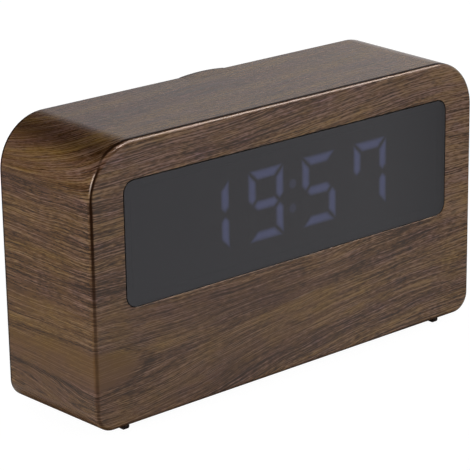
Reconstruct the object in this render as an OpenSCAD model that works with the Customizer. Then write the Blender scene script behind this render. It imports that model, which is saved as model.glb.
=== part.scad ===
// Desk clock with a lit digit window in a wood-look block
// X runs along the front, Y from the front face to the back, Z up from the table

/* [Case] */
// Width of the case at its front face
case_w = 160; // [154:1:190]
// Height of the case at its front face
case_h = 88.6; // [86:0.1:110]
// Depth of the case from front to back
case_d = 44.6; // [43:0.1:60]
// Growth of each side towards the back, its moulding draft
side_draft = 0.3; // [0:0.05:0.6]
// Rise of the top and drop of the underside towards the back
top_draft = 0.85; // [0.2:0.05:1.2]
// Radius of the two upper corners
top_r = 16.5; // [10:0.5:18]
// Radius of the two lower corners
bottom_r = 6.4; // [5:0.1:9]
// Rounding of the front and rear edges
edge_r = 1.5; // [0.8:0.1:1.7]
// Thickness of the top, bottom and side walls
wall = 3; // [2.7:0.1:3.6]
// Thickness of the front wall
front_wall = 3.2; // [2.8:0.1:4]
// Thickness of the rim around the rear cover
rim_wall = 1.8; // [1.7:0.1:2.1]

/* [Feet] */
// Height of the underside above the table at the front
foot_h = 2.4; // [2:0.1:5]
// Width of a runner
foot_w = 2; // [1.5:0.1:5]
// Distance of a runner's middle from the side of the case
foot_side = 13; // [10:0.5:30]
// Distance of a runner's ends from the front and rear faces
foot_inset = 2.7; // [2:0.1:6]
// Depth to which a runner is let into the case
foot_groove = 1; // [0.5:0.1:1.4]
// Rounding of a runner's lower ends
foot_r = 1; // [0.4:0.1:1.4]

/* [Window] */
// Distance of the window from the side of the case
window_side = 12.4; // [11.5:0.1:20]
// Height of the window
window_h = 39.6; // [34:0.2:44]
// Corner radius of the window
window_r = 4; // [3.4:0.1:8]
// Height of the window's middle above the underside
window_rise = 56.75; // [50:0.25:58]
// Step from the front face back to the window
lens_recess = 0.1; // [0:0.05:0.6]
// Gap around the window
lens_gap = 0.25; // [0.15:0.05:0.4]
// Thickness of the window
lens_t = 1.5; // [1:0.1:1.6]
// Width of the ledge behind the window's edge
lens_ledge = 3; // [2:0.1:3.2]

/* [Digits] */
// Hours and minutes that are lit
shown = "1957"; // 4
// Width of a digit
digit_w = 14.8; // [12:0.1:16]
// Height of a digit
digit_h = 23.2; // [18:0.1:26]
// Height of the digits' middle above the window's middle
digit_rise = 0.75; // [0:0.05:1.5]
// Distance from one digit to the next
digit_pitch = 22.4; // [21:0.1:26]
// Width of a segment
seg_w = 3.4; // [2.4:0.1:3.8]
// Gap between two segments at a corner
seg_gap = 0.45; // [0.3:0.05:0.8]
// Diameter of a colon dot
dot_d = 3; // [2:0.1:3.6]
// Height of a colon dot above or below the digits' middle
dot_rise = 4; // [3:0.1:6]
// Depth of the light mask
mask_d = 7; // [5:0.5:9]
// Depth of the clear guides in the mask
guide_d = 1.5; // [1:0.1:2.5]

/* [Boards] */
// Thickness of both circuit boards
board_t = 1.6; // [1:0.1:2]
// Width of the screw strip above and below the light mask
board_strip = 7; // [6.4:0.1:7.6]
// Width of the main board
main_board_w = 112; // [106:1:124]
// Height of the main board
main_board_h = 24; // [22:0.5:27]
// Space between the main board and the rear cover
board_space = 8.3; // [7.8:0.1:9]
// Drop of the main board's top edge below the inside of the top
board_drop = 4; // [3.6:0.1:5]
// Distance of a board screw from the board's edges
board_screw_inset = 4; // [3:0.1:4.5]
// Diameter of a board screw
board_screw_d = 2; // [1.6:0.1:2.2]
// Diameter of the posts that carry the boards
board_post_d = 5.2; // [4.4:0.1:5.6]

/* [Rear cover] */
// Step from the rear rim in to the cover
cover_recess = 1.2; // [1.1:0.1:1.6]
// Thickness of the rear cover
cover_t = 2.2; // [2:0.1:2.4]
// Diameter of a cover screw
cover_screw_d = 2.6; // [2:0.1:3]
// Diameter of the posts that take the cover screws
cover_post_d = 6.8; // [6:0.1:8]
// Height of the lower cover screws above the underside
lower_screw_rise = 9.6; // [8:0.1:14]
// Height of the upper cover screws above the underside
upper_screw_rise = 63.6; // [50:0.1:68]

/* [Rear controls] */
// Height of the controls above the main board's lower edge
control_rise = 12; // [11:0.5:13]
// Place of the button row's middle across the back
button_row_x = -4; // [-8:0.5:0]
// Distance from one push button to the next
button_pitch = 16; // [14:0.5:17]
// Diameter of a push button
button_d = 7.6; // [6:0.1:8.4]
// Height of a push button above the rear cover
button_proud = 0.9; // [0.7:0.1:1.1]
// Travel of a push button
button_travel = 0.6; // [0.3:0.1:0.7]
// Side of a push switch's square body
switch_w = 6; // [5:0.1:6.5]
// Height of a push switch's body
switch_h = 3.5; // [3:0.1:3.8]
// Diameter of a push switch's plunger
plunger_d = 3.4; // [2.6:0.1:3.8]
// Distance from the last push button to the slide switch
slide_step = 15; // [13:0.5:16]
// Travel of the slide switch
slide_travel = 4; // [3:0.5:5]
// Distance from the slide switch to the buzzer
buzzer_step = 12; // [11.5:0.5:13]
// Diameter of the buzzer
buzzer_d = 12; // [10:0.5:12.5]
// Distance from the power inlet to the first push button
inlet_step = 17; // [14:0.5:18]
// Outer width of the power inlet
inlet_w = 9; // [8.6:0.1:9.4]
// Outer height of the power inlet
inlet_h = 3.3; // [3.2:0.1:3.6]

/* [Snooze key] */
// Width of the snooze key
key_w = 18; // [14:0.5:26]
// Depth of the snooze key from front to back
key_d = 5; // [4.6:0.1:6]
// Rise of the snooze key's swelling above its ends
key_crown = 0.56; // [0.3:0.02:0.8]
// Travel of the snooze key
key_travel = 0.8; // [0.5:0.1:0.9]

/* [Battery bay] */
// Length of a cell without its button
cell_l = 44.5; // [40:0.5:46]
// Diameter of a cell
cell_d = 10.5; // [9.5:0.1:11]
// Distance from one cell to the next
cell_pitch = 11.6; // [11.2:0.1:12]
// Space for a spring contact at a cell's end
spring_l = 4; // [3:0.1:5]
// Height of the battery door above the underside
door_rise = 9.6; // [8:0.1:10.4]
// Thickness of the battery door
door_t = 2; // [1.6:0.1:2]
// Gap around the battery door
door_gap = 0.3; // [0.2:0.05:0.5]

/* [Hidden] */
$fn = 48;
// Straight steps in each rounded corner and in each rounded edge of the case
corner_steps = 8;
edge_steps = 4;
// Gaps between fixed pieces, around sliding pieces and around screws
seat_gap = 0.15;
run_gap = 0.2;
rest_gap = 0.3;
screw_fit = 0.05;
// Overlap that fuses two shapes of one piece, and overrun of a cut past a face
bite = 0.6;
over = 1;

// Faces of the case, front to back and bottom to top
front_y = -case_d / 2;
back_y = case_d / 2;
base_z = foot_h;
top_z = base_z + case_h;
inner_front_y = front_y + front_wall;
inner_w = case_w - 2 * wall;
inner_base_z = base_z + wall;
inner_top_z = top_z - wall;

// Rear cover and the rebate it sits in
cover_y = back_y - cover_recess;
cover_in_y = cover_y - cover_t;
cover_w = case_w - 2 * rim_wall - 2 * seat_gap;
cover_base_z = base_z + rim_wall + seat_gap;
cover_top_z = top_z - rim_wall - seat_gap;
cover_screw_x = inner_w / 2 - cover_post_d / 2 + bite;
cover_screw_l = 9;
cover_head_d = 2 * cover_screw_d;
cover_head_t = 1.4;
cover_head_sink = 1;
cover_screws_at = [for (x = [-1, 1], rise = [lower_screw_rise, upper_screw_rise])
    [x * cover_screw_x, base_z + rise]];

// Window, light mask and display board, stacked from the front
window_w = case_w - 2 * window_side;
window_z = base_z + window_rise;
lens_y = front_y + lens_recess;
lens_back_y = lens_y + lens_t;
ledge_w = window_w - 2 * lens_ledge;
ledge_h = window_h - 2 * lens_ledge;
ledge_r = window_r - lens_ledge + seat_gap;
mask_w = ledge_w - 2 * rest_gap;
mask_h = ledge_h - 2 * rest_gap;
mask_back_y = lens_back_y + mask_d;
board_side = 1.5;
display_board_w = ledge_w + 2 * board_side;
display_board_h = mask_h + 2 * board_strip;
display_back_y = mask_back_y + board_t;
display_screw_x = display_board_w / 2 - 1.5 * board_screw_inset;
display_screw_z = mask_h / 2 + board_strip / 2;
display_screws_at = [for (x = [-1, 1], z = [-1, 1])
    [x * display_screw_x, window_z + z * display_screw_z]];

// Seven segments of a digit: place across, place up, whether upright
digit_z = window_z + digit_rise;
seg_x = (digit_w - seg_w) / 2;
seg_z = (digit_h - seg_w) / 2;
segments = [[0, seg_z, false], [seg_x, seg_z / 2, true], [seg_x, -seg_z / 2, true],
    [0, -seg_z, false], [-seg_x, -seg_z / 2, true], [-seg_x, seg_z / 2, true], [0, 0, false]];
// Segments that each digit from 0 to 9 lights, in the same order
digit_names = "0123456789";
digit_lights = ["012345", "12", "01346", "01236", "1256", "02356", "023456", "0125", "0123456", "012356"];
lamp_size = [2, 1, 1.4];

// Main board, hung behind the rear cover
main_back_y = cover_in_y - board_space;
main_front_y = main_back_y - board_t;
main_top_z = inner_top_z - board_drop;
main_base_z = main_top_z - main_board_h;
main_screw_x = main_board_w / 2 - board_screw_inset;
main_screws_at = [for (x = [-1, 1], z = [main_base_z + board_screw_inset, main_top_z - board_screw_inset])
    [x * main_screw_x, z]];
board_screw_l = 5;
board_head_d = 1.9 * board_screw_d;
board_head_t = 1.3;

// Chip and capacitor on the main board, and the ribbon between the boards
chip_size = [12, 2.4, 10];
chip_x = 32;
can_d = 6.3;
can_l = 7;
can_x = -34;
socket_size = [20, 3, 4];
ribbon_w = 16;
ribbon_t = 0.4;
ribbon_steps = 16;
display_socket_z = window_z + mask_h / 2;
main_socket_z = main_base_z + main_board_h / 2;

// Controls in a row across the back
control_z = main_base_z + control_rise;
button_xs = [for (i = [0:3]) button_row_x + (i - 1.5) * button_pitch];
button_out_y = cover_y + button_proud;
collar_y = cover_in_y - rest_gap;
collar_t = 1.2;
collar_w = 1;
plunger_out = 1.3;
plunger_in = 1;
plunger_y = main_back_y + switch_h + plunger_out;
stem_d = plunger_d + 1;
edge_cut = 0.4;
slide_x = button_xs[3] + slide_step;
slide_size = [9, 5, 4.6];
knob_w = 3;
knob_h = 2.6;
tail_h = 1.6;
tail_in = 1.5;
slide_top_y = main_back_y + slide_size[1];
slot_w = knob_w + slide_travel + 2 * run_gap;
buzzer_x = slide_x + buzzer_step;
buzzer_gap = 0.9;
buzzer_l = board_space - buzzer_gap;
buzzer_hole_d = 2.5;
vent_d = 1.8;
vent_circle_r = 3.6;
inlet_x = button_xs[0] - inlet_step;
inlet_wall = 0.35;
inlet_y = cover_y - rest_gap;
inlet_base_l = 2.5;
tongue_w = 6.6;
tongue_t = 0.7;
tongue_y = inlet_y - 1;
plug_rim = 1.8;
plug_sink = 0.8;

// Snooze key let into the rear edge of the top
key_back_y = back_y - rest_gap;
key_front_y = key_back_y - key_d;
key_low_z = cover_top_z + key_travel + rest_gap;
key_high_z = top_z + top_draft + key_crown;
key_arc_r = (key_w * key_w / 4 + key_crown * key_crown) / (2 * key_crown);
key_flush_z = top_z + top_draft * (key_front_y - front_y) / case_d;
key_reach = back_y - key_front_y;
key_tilt = atan((key_high_z - key_flush_z) / (key_reach - edge_r));
key_neck_y = cover_in_y - 2 * run_gap;
flange_top_z = inner_top_z - rest_gap;
flange_t = 1.4;
flange_low_z = flange_top_z - flange_t;
flange_wing = 2;
snooze_step = 4.5;
snooze_axis_y = main_back_y + snooze_step;
snooze_body_d = 7;
snooze_top_z = flange_low_z - plunger_out;

// Battery bay: door opening, tray and cells
nub_l = 1;
nub_d = 3.8;
plate_t = 0.5;
cells = 3;
bay_w = cell_l + nub_l + plate_t + spring_l;
bay_margin = 5.2;
bay_h = cells * cell_pitch + bay_margin;
bay_z = base_z + door_rise;
bay_top_z = bay_z + bay_h;
tab_w = 8;
tab_t = 1.3;
tab_l = 2;
tab_x = bay_w / 4;
tab_y = cover_y - cover_t - run_gap;
tray_t = 1.5;
tray_base_z = bay_z - tab_l - bite;
cell_play = 0.6;
cell_lift = 0.8;
cell_y = cover_in_y - cell_play - cell_d / 2;
tray_floor_y = cell_y - cell_d / 2 - rest_gap;
cell_xs = [for (i = [0:cells - 1]) (i % 2 == 0 ? 1 : -1) * (spring_l - plate_t - nub_l) / 2];
cell_zs = [for (i = [0:cells - 1]) bay_z + bay_h / 2 + cell_lift + (i - 1) * cell_pitch];
contact_w = 8;
leaf_t = 0.4;
leaf_w = 5;
lead_d = 1.4;
lead_inset = 4;
lead_x = bay_w / 2 - lead_inset;
lead_rise = main_board_h / 2;
grip_t = 0.8;
grip_sink = 0.5;
grip_pitch = 2;
grip_w = 14;
notch_r = 6;
notch_sink = 1.2;

// Extrudes a drawing of x and z from y0 to y1
module across(y0, y1) {
    translate([0, y1, 0]) rotate([90, 0, 0]) linear_extrude(y1 - y0) children();
}

// Extrudes a drawing of y and z from x0 to x1
module sideways(x0, x1) {
    translate([x0, 0, 0]) rotate([90, 0, 90]) linear_extrude(x1 - x0) children();
}

// Round bar along Y
module rod(at, d, y0, y1) {
    translate([at[0], y1, at[1]]) rotate([90, 0, 0]) cylinder(d = d, h = y1 - y0);
}

// Block centred on x and z, from y0 to y1
module block(at, w, h, y0, y1) {
    translate([at[0] - w / 2, y0, at[1] - h / 2]) cube([w, y1 - y0, h]);
}

// Outline with two upper and two lower rounded corners
module outline(w, z0, z1, upper_r, lower_r) {
    translate([-w / 2, z0 + lower_r]) square([w, z1 - z0 - upper_r - lower_r]);
    translate([lower_r - w / 2, z0]) square([w - 2 * lower_r, z1 - z0 - upper_r]);
    translate([upper_r - w / 2, z0 + lower_r]) square([w - 2 * upper_r, z1 - z0 - lower_r]);
    for (x = [-1, 1]) {
        translate([x * (w / 2 - lower_r), z0 + lower_r]) circle(lower_r);
        translate([x * (w / 2 - upper_r), z1 - upper_r]) circle(upper_r);
    }
}

// Rounded rectangle about a point
module panel(at, w, h, r) {
    translate(at) outline(w, -h / 2, h / 2, r, r);
}

// Slot with round ends about a point
module slot(at, w, h) {
    translate(at) {
        square([w - h, h], center = true);
        for (x = [-1, 1]) translate([x * (w - h) / 2, 0]) circle(d = h);
    }
}

// Screw along Y with a crossed recess, head towards side 1 (back) or -1 (front)
module screw(at, y, side, d, l, head_d, head_t) {
    cross_w = head_d / 8;
    cross_l = head_d * 0.55;
    translate([at[0], y, at[1]]) rotate([-90 * side, 0, 0]) difference() {
        union() {
            translate([0, 0, -l]) cylinder(d = d, h = l);
            cylinder(d = head_d, h = head_t);
        }
        for (turn = [0, 90]) rotate(turn)
            translate([-cross_l / 2, -cross_w / 2, head_t / 2]) cube([cross_l, cross_w, head_t]);
    }
}

// One ring of the case's skin at depth y, drawn in from the full outline
function corner(cx, cz, r, y, turn) = [for (i = [0:corner_steps])
    let (a = turn + 90 * i / corner_steps) [cx + r * cos(a), y, cz + r * sin(a)]];
function ring(y, inset) = let (
    share = (y - front_y) / case_d,
    half = case_w / 2 + side_draft * share - inset,
    low = base_z - top_draft * share + inset,
    high = top_z + top_draft * share - inset,
    upper = top_r - inset,
    lower = bottom_r - inset
) concat(
    corner(half - lower, low + lower, lower, y, -90), corner(half - upper, high - upper, upper, y, 0),
    corner(upper - half, high - upper, upper, y, 90), corner(lower - half, low + lower, lower, y, 180)
);

// Outside of the case: drafted, with rounded front and rear edges
module case_skin() {
    turns = [for (i = [0:edge_steps]) 90 * i / edge_steps];
    rings = concat(
        [for (a = turns) ring(front_y + edge_r * (1 - cos(a)), edge_r * (1 - sin(a)))],
        [for (a = turns) ring(back_y - edge_r * (1 - sin(a)), edge_r * (1 - cos(a)))]
    );
    count = len(rings[0]);
    last = len(rings) - 1;
    polyhedron(
        points = [for (r = rings, p = r) p],
        faces = concat(
            [[for (i = [count - 1:-1:0]) i], [for (i = [0:count - 1]) last * count + i]],
            [for (k = [0:last - 1], i = [0:count - 1], half = [0, 1])
                let (a = k * count, b = a + count, j = (i + 1) % count)
                half == 0 ? [a + i, a + j, b + j] : [a + i, b + j, b + i]]
        )
    );
}

// Runner outline in y and z, grown by a gap
module runner_outline(gap) {
    y0 = front_y + foot_inset - gap;
    y1 = back_y - foot_inset + gap;
    high = base_z + foot_groove + gap;
    translate([y0, foot_r]) square([y1 - y0, high - foot_r]);
    translate([y0 + foot_r, 0]) square([y1 - y0 - 2 * foot_r, high]);
    for (y = [y0 + foot_r, y1 - foot_r]) translate([y, foot_r]) circle(foot_r);
}

module runner(side, gap = 0) {
    x = side * (case_w / 2 - foot_side);
    sideways(x - foot_w / 2 - gap, x + foot_w / 2 + gap) runner_outline(gap);
}

module case_shell() {
    color("saddlebrown") difference() {
        union() {
            difference() {
                case_skin();
                across(inner_front_y, back_y + over)
                    outline(inner_w, inner_base_z, inner_top_z, top_r - wall, bottom_r - wall);
                across(cover_in_y, back_y + over)
                    outline(case_w - 2 * rim_wall, base_z + rim_wall, top_z - rim_wall,
                        top_r - rim_wall, bottom_r - rim_wall);
            }
            for (at = cover_screws_at) rod(at, cover_post_d, inner_front_y - bite, cover_in_y);
            for (at = display_screws_at) rod(at, board_post_d, inner_front_y - bite, mask_back_y);
        }
        across(front_y - over, lens_back_y) panel([0, window_z], window_w, window_h, window_r);
        across(front_y, inner_front_y + over) panel([0, window_z], ledge_w, ledge_h, ledge_r);
        block([0, top_z], key_w + 2 * run_gap, 2 * (wall + over), key_front_y - run_gap, back_y + over);
        for (side = [-1, 1]) runner(side, screw_fit);
        for (at = cover_screws_at)
            rod(at, cover_screw_d + 2 * screw_fit, cover_in_y - cover_screw_l - over, cover_in_y + over);
        for (at = display_screws_at)
            rod(at, board_screw_d + 2 * screw_fit, mask_back_y - board_screw_l, mask_back_y + over);
    }
}

module display_lens() {
    color("#26262a") across(lens_y, lens_back_y)
        panel([0, window_z], window_w - 2 * lens_gap, window_h - 2 * lens_gap, window_r - lens_gap);
}

// Outlines of the three kinds of segment, from the half length at its tip and half its width
function level_outline(tip, h) = [[-tip - h, h], [tip + h, h], [tip - h, -h], [h - tip, -h]];
function upright_outline(tip, h) = [[h, tip + h], [-h, tip - h], [-h, h - tip], [0, -tip], [h, h - tip]];
function middle_outline(tip, h) =
    [[-tip, 0], [h - tip, h], [tip - h, h], [tip, 0], [tip - h, -h], [h - tip, -h]];

// One segment drawn at its place in a digit, drawn in by a gap; its mitred ends face the corners
module segment(n, inset) {
    s = segments[n];
    h = seg_w / 2 - inset;
    tip = (s[2] ? seg_z / 2 : seg_x) - seg_gap - inset * sqrt(2);
    points = s[2] ? upright_outline(tip, h) : s[1] == 0 ? middle_outline(tip, h) : level_outline(tip, h);
    flip = [s[0] < 0 ? -1 : 1, s[1] < 0 ? -1 : 1];
    translate([s[0], s[1]]) polygon([for (p = points) [flip[0] * p[0], flip[1] * p[1]]]);
}

function digit_x(place) = (place - 1.5) * digit_pitch;
function digit(place) = search(shown[place], digit_names)[0];
function lights(place, n) = len(search(digit_names[n], digit_lights[digit(place)])) > 0;

// All segments that are lit, or all that are dark
module segment_set(lit, inset) {
    for (place = [0:3], n = [0:6])
        if (lights(place, n) == lit) translate([digit_x(place), digit_z]) segment(n, inset);
}

module colon(d) {
    for (z = [-1, 1]) translate([0, digit_z + z * dot_rise]) circle(d = d);
}

module light_mask() {
    color("#151517") difference() {
        block([0, window_z], mask_w, mask_h, lens_back_y, mask_back_y);
        across(lens_back_y - over, mask_back_y + over) {
            segment_set(true, 0);
            segment_set(false, 0);
            colon(dot_d);
        }
    }
}

module lit_segments() {
    color("#8f93d8") across(lens_back_y, lens_back_y + guide_d) segment_set(true, screw_fit);
}

module dark_segments() {
    color("#4a4a52") across(lens_back_y, lens_back_y + guide_d) segment_set(false, screw_fit);
}

module colon_dots() {
    color("#6a6c88") across(lens_back_y, lens_back_y + guide_d) colon(dot_d - 2 * screw_fit);
}

module lamp(x, z) {
    block([x, z], lamp_size[0], lamp_size[2], mask_back_y - lamp_size[1], mask_back_y);
}

module segment_lamps() {
    color("ivory") {
        for (place = [0:3], s = segments) lamp(digit_x(place) + s[0], digit_z + s[1]);
        for (z = [-1, 1]) lamp(0, digit_z + z * dot_rise);
    }
}

module display_board() {
    color("darkgreen") difference() {
        block([0, window_z], display_board_w, display_board_h, mask_back_y, display_back_y);
        for (at = display_screws_at)
            rod(at, board_screw_d + 2 * screw_fit, mask_back_y - over, display_back_y + over);
    }
}

module display_screws() {
    color("silver") for (at = display_screws_at)
        screw(at, display_back_y, 1, board_screw_d, board_screw_l, board_head_d, board_head_t);
}

module main_board() {
    color("darkgreen") difference() {
        block([0, main_top_z - main_board_h / 2], main_board_w, main_board_h, main_front_y, main_back_y);
        for (at = main_screws_at)
            rod(at, board_screw_d + 2 * screw_fit, main_front_y - over, main_back_y + over);
    }
}

module main_board_screws() {
    color("silver") for (at = main_screws_at)
        screw(at, main_front_y, -1, board_screw_d, board_screw_l, board_head_d, board_head_t);
}

module clock_chip() {
    color("#202022") block([chip_x, control_z], chip_size[0], chip_size[2], main_front_y - chip_size[1],
        main_front_y);
}

module capacitor() {
    color("slategray") rod([can_x, control_z], can_d, main_front_y - can_l, main_front_y);
}

module ribbon_sockets() {
    color("whitesmoke") {
        block([0, display_socket_z], socket_size[0], socket_size[2], display_back_y,
            display_back_y + socket_size[1]);
        block([0, main_socket_z], socket_size[0], socket_size[2], main_front_y - socket_size[1], main_front_y);
    }
}

// Flat ribbon that eases from one socket's height to the other's
module ribbon_cable() {
    y0 = display_back_y + socket_size[1];
    y1 = main_front_y - socket_size[1];
    rise = main_socket_z - display_socket_z;
    path = [for (i = [0:ribbon_steps]) let (s = i / ribbon_steps)
        [y0 + (y1 - y0) * s, display_socket_z + rise * (1 - cos(180 * s)) / 2]];
    color("lightgray") sideways(-ribbon_w / 2, ribbon_w / 2) polygon(concat(
        [for (p = path) p + [0, ribbon_t / 2]],
        [for (i = [ribbon_steps:-1:0]) path[i] - [0, ribbon_t / 2]]
    ));
}

module buzzer() {
    top_y = main_back_y + buzzer_l;
    color("#1c1c1e") difference() {
        rod([buzzer_x, control_z], buzzer_d, main_back_y, top_y);
        rod([buzzer_x, control_z], buzzer_hole_d, top_y - buzzer_hole_d, top_y + over);
    }
}

module push_switches() {
    top_y = main_back_y + switch_h;
    color("#2a2a2c") for (x = button_xs) difference() {
        block([x, control_z], switch_w, switch_w, main_back_y, top_y);
        rod([x, control_z], plunger_d + run_gap, top_y - plunger_in - button_travel - run_gap,
            top_y + over);
    }
}

// Round push button with a collar behind the cover and a stem to its switch
module push_button(n) {
    at = [button_xs[n], control_z];
    color("#2b2b2d") {
        rod(at, stem_d, plunger_y, collar_y);
        rod(at, button_d + 2 * collar_w, collar_y - collar_t, collar_y);
        rod(at, button_d, collar_y - collar_t, button_out_y - edge_cut);
        translate([at[0], button_out_y - edge_cut, at[1]]) rotate([-90, 0, 0])
            cylinder(d1 = button_d, d2 = button_d - 2 * edge_cut, h = edge_cut);
    }
}

module push_plunger(n) {
    color("tan") rod([button_xs[n], control_z], plunger_d, plunger_y - plunger_out - plunger_in, plunger_y);
}

module mode_button() { push_button(0); }
module up_button() { push_button(1); }
module down_button() { push_button(2); }
module alarm_button() { push_button(3); }
module mode_plunger() { push_plunger(0); }
module up_plunger() { push_plunger(1); }
module down_plunger() { push_plunger(2); }
module alarm_plunger() { push_plunger(3); }

// Skin of the case carried on over the snooze key, with its rounded rear edge
module key_base() {
    rear_z = top_z + top_draft;
    sideways(-key_w / 2, key_w / 2) {
        translate([back_y - edge_r, rear_z - edge_r]) circle(edge_r);
        polygon([[key_front_y, key_low_z], [back_y, key_low_z], [back_y, rear_z - edge_r],
            [back_y - edge_r, rear_z], [key_front_y, key_flush_z]]);
    }
}

// Swelling on the snooze key: an arc across it that climbs from the key's front edge
module key_swelling() {
    translate([0, key_front_y, key_flush_z]) rotate([key_tilt, 0, 0]) translate([0, 0, -key_arc_r])
        rotate([-90, 0, 0]) rotate_extrude($fn = 360) {
            translate([key_arc_r - wall, 0]) square([wall, key_reach - edge_r]);
            translate([key_arc_r - wall, 0]) square([wall - edge_r, key_reach]);
            translate([key_arc_r - edge_r, key_reach - edge_r]) circle(edge_r);
        }
}

// Snooze key: swollen top, neck through the case and flange under it
module snooze_key() {
    color("saddlebrown") {
        intersection() {
            translate([-key_w / 2, key_front_y, key_low_z]) cube([key_w, key_d, wall + top_draft]);
            union() {
                key_base();
                key_swelling();
            }
        }
        translate([-key_w / 2, key_front_y, flange_low_z])
            cube([key_w, key_neck_y - key_front_y, key_low_z + bite - flange_low_z]);
        translate([-key_w / 2 - flange_wing, snooze_axis_y - stem_d / 2, flange_low_z])
            cube([key_w + 2 * flange_wing, key_neck_y - snooze_axis_y + stem_d / 2, flange_t]);
    }
}

module snooze_switch() {
    color("#2a2a2c") difference() {
        translate([-switch_w / 2, main_back_y, snooze_top_z - switch_h])
            cube([switch_w, snooze_body_d, switch_h]);
        translate([0, snooze_axis_y, snooze_top_z - plunger_in - key_travel - run_gap])
            cylinder(d = plunger_d + run_gap, h = switch_h);
    }
}

module snooze_plunger() {
    color("tan") translate([0, snooze_axis_y, snooze_top_z - plunger_in])
        cylinder(d = plunger_d, h = plunger_in + plunger_out);
}

module slide_switch() {
    color("silver") difference() {
        block([slide_x, control_z], slide_size[0], slide_size[2], main_back_y, slide_top_y);
        block([slide_x, control_z], slot_w, tail_h + 2 * run_gap, slide_top_y - tail_in - rest_gap,
            slide_top_y + over);
    }
}

module slide_knob() {
    at = [slide_x - slide_travel / 2, control_z];
    color("#2b2b2d") {
        block(at, knob_w, tail_h, slide_top_y - tail_in, slide_top_y + rest_gap + bite);
        block(at, knob_w, knob_h, slide_top_y + rest_gap, button_out_y);
    }
}

module inlet_shell() {
    color("silver") across(main_back_y, inlet_y) difference() {
        slot([inlet_x, control_z], inlet_w, inlet_h);
        slot([inlet_x, control_z], inlet_w - 2 * inlet_wall, inlet_h - 2 * inlet_wall);
    }
}

module inlet_tongue() {
    inset = 2 * (inlet_wall + screw_fit);
    color("#1c1c1e") {
        across(main_back_y, main_back_y + inlet_base_l)
            slot([inlet_x, control_z], inlet_w - inset, inlet_h - inset);
        block([inlet_x, control_z], tongue_w, tongue_t, main_back_y, tongue_y);
    }
}

module rear_cover() {
    color("#232325") difference() {
        union() {
            across(cover_in_y, cover_y) outline(cover_w, cover_base_z, cover_top_z,
                top_r - rim_wall - seat_gap, bottom_r - rim_wall - seat_gap);
            for (at = main_screws_at) rod(at, board_post_d, main_back_y, cover_in_y + bite);
        }
        for (at = cover_screws_at) {
            rod(at, cover_screw_d + 2 * screw_fit, cover_in_y - over, cover_y + over);
            rod(at, cover_head_d + 2 * run_gap, cover_y - cover_head_sink, cover_y + over);
        }
        for (at = main_screws_at)
            rod(at, board_screw_d + 2 * screw_fit, main_back_y - over, main_front_y + board_screw_l + over);
        for (x = button_xs) rod([x, control_z], button_d + 2 * run_gap, cover_in_y - over, cover_y + over);
        block([slide_x, control_z], slot_w, knob_h + 2 * run_gap, cover_in_y - over, cover_y + over);
        rod([buzzer_x, control_z], vent_d, cover_in_y - over, cover_y + over);
        for (turn = [0:60:300])
            rod([buzzer_x + vent_circle_r * cos(turn), control_z + vent_circle_r * sin(turn)], vent_d,
                cover_in_y - over, cover_y + over);
        across(cover_in_y - over, cover_y + over)
            slot([inlet_x, control_z], inlet_w + 2 * run_gap, inlet_h + 2 * run_gap);
        across(cover_y - plug_sink, cover_y + over)
            slot([inlet_x, control_z], inlet_w + 2 * plug_rim, inlet_h + 2 * plug_rim);
        block([0, bay_z + bay_h / 2], bay_w, bay_h, cover_in_y - over, cover_y + over);
        rod([0, bay_top_z], 2 * notch_r, cover_y - notch_sink, cover_y + over);
    }
}

module cover_screws() {
    color("silver") for (at = cover_screws_at)
        screw(at, cover_y - cover_head_sink, 1, cover_screw_d, cover_screw_l, cover_head_d, cover_head_t);
}

module battery_tray() {
    middle = [0, (tray_base_z + bay_top_z) / 2];
    h = bay_top_z - tray_base_z;
    color("#232325") difference() {
        block(middle, bay_w + 2 * tray_t, h + 2 * tray_t, tray_floor_y - tray_t, cover_in_y);
        block(middle, bay_w, h, tray_floor_y, cover_in_y + over);
    }
}

// Door that tips out about its lower edge on two tabs behind the cover
module battery_door() {
    low = bay_z + door_gap;
    color("#28282a") {
        difference() {
            block([0, bay_z + bay_h / 2], bay_w - 2 * door_gap, bay_h - 2 * door_gap, cover_y - door_t, cover_y);
            for (i = [1:4])
                block([0, bay_top_z - notch_r - i * grip_pitch], grip_w, grip_t, cover_y - grip_sink,
                    cover_y + over);
        }
        for (x = [-1, 1]) {
            translate([x * tab_x - tab_w / 2, tab_y - tab_t, low])
                cube([tab_w, cover_y - bite - tab_y + tab_t, tab_l]);
            translate([x * tab_x - tab_w / 2, tab_y - tab_t, bay_z - tab_l]) cube([tab_w, tab_t, 2 * tab_l]);
        }
    }
}

module battery_cells() {
    color("steelblue") for (i = [0:cells - 1]) {
        side = i % 2 == 0 ? 1 : -1;
        translate([cell_xs[i], cell_y, cell_zs[i]]) rotate([0, 90 * side, 0]) {
            translate([0, 0, -cell_l / 2]) cylinder(d = cell_d, h = cell_l);
            cylinder(d = nub_d, h = cell_l / 2 + nub_l);
        }
    }
}

// Bent leaf on a plate at each cell's flat end
module spring_contacts() {
    reach = spring_l - plate_t - screw_fit;
    half = contact_w / 2 - leaf_t;
    color("gainsboro") for (i = [0:cells - 1]) {
        side = i % 2 == 0 ? -1 : 1;
        translate([side * bay_w / 2, cell_y, cell_zs[i]]) rotate(side < 0 ? 0 : 180) {
            translate([0, -contact_w / 2, -contact_w / 2]) cube([plate_t, contact_w, contact_w]);
            translate([plate_t, 0, -leaf_w / 2]) linear_extrude(leaf_w)
                polygon([[0, -half], [reach, -leaf_t], [reach, leaf_t], [0, half],
                    [0, half - leaf_t], [reach - leaf_t, 0], [0, leaf_t - half]]);
        }
    }
}

module contact_plates() {
    color("gainsboro") for (i = [0:cells - 1]) {
        side = i % 2 == 0 ? 1 : -1;
        translate([side * (bay_w - plate_t) / 2, cell_y, cell_zs[i]])
            cube([plate_t, contact_w, contact_w], center = true);
    }
}

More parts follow.
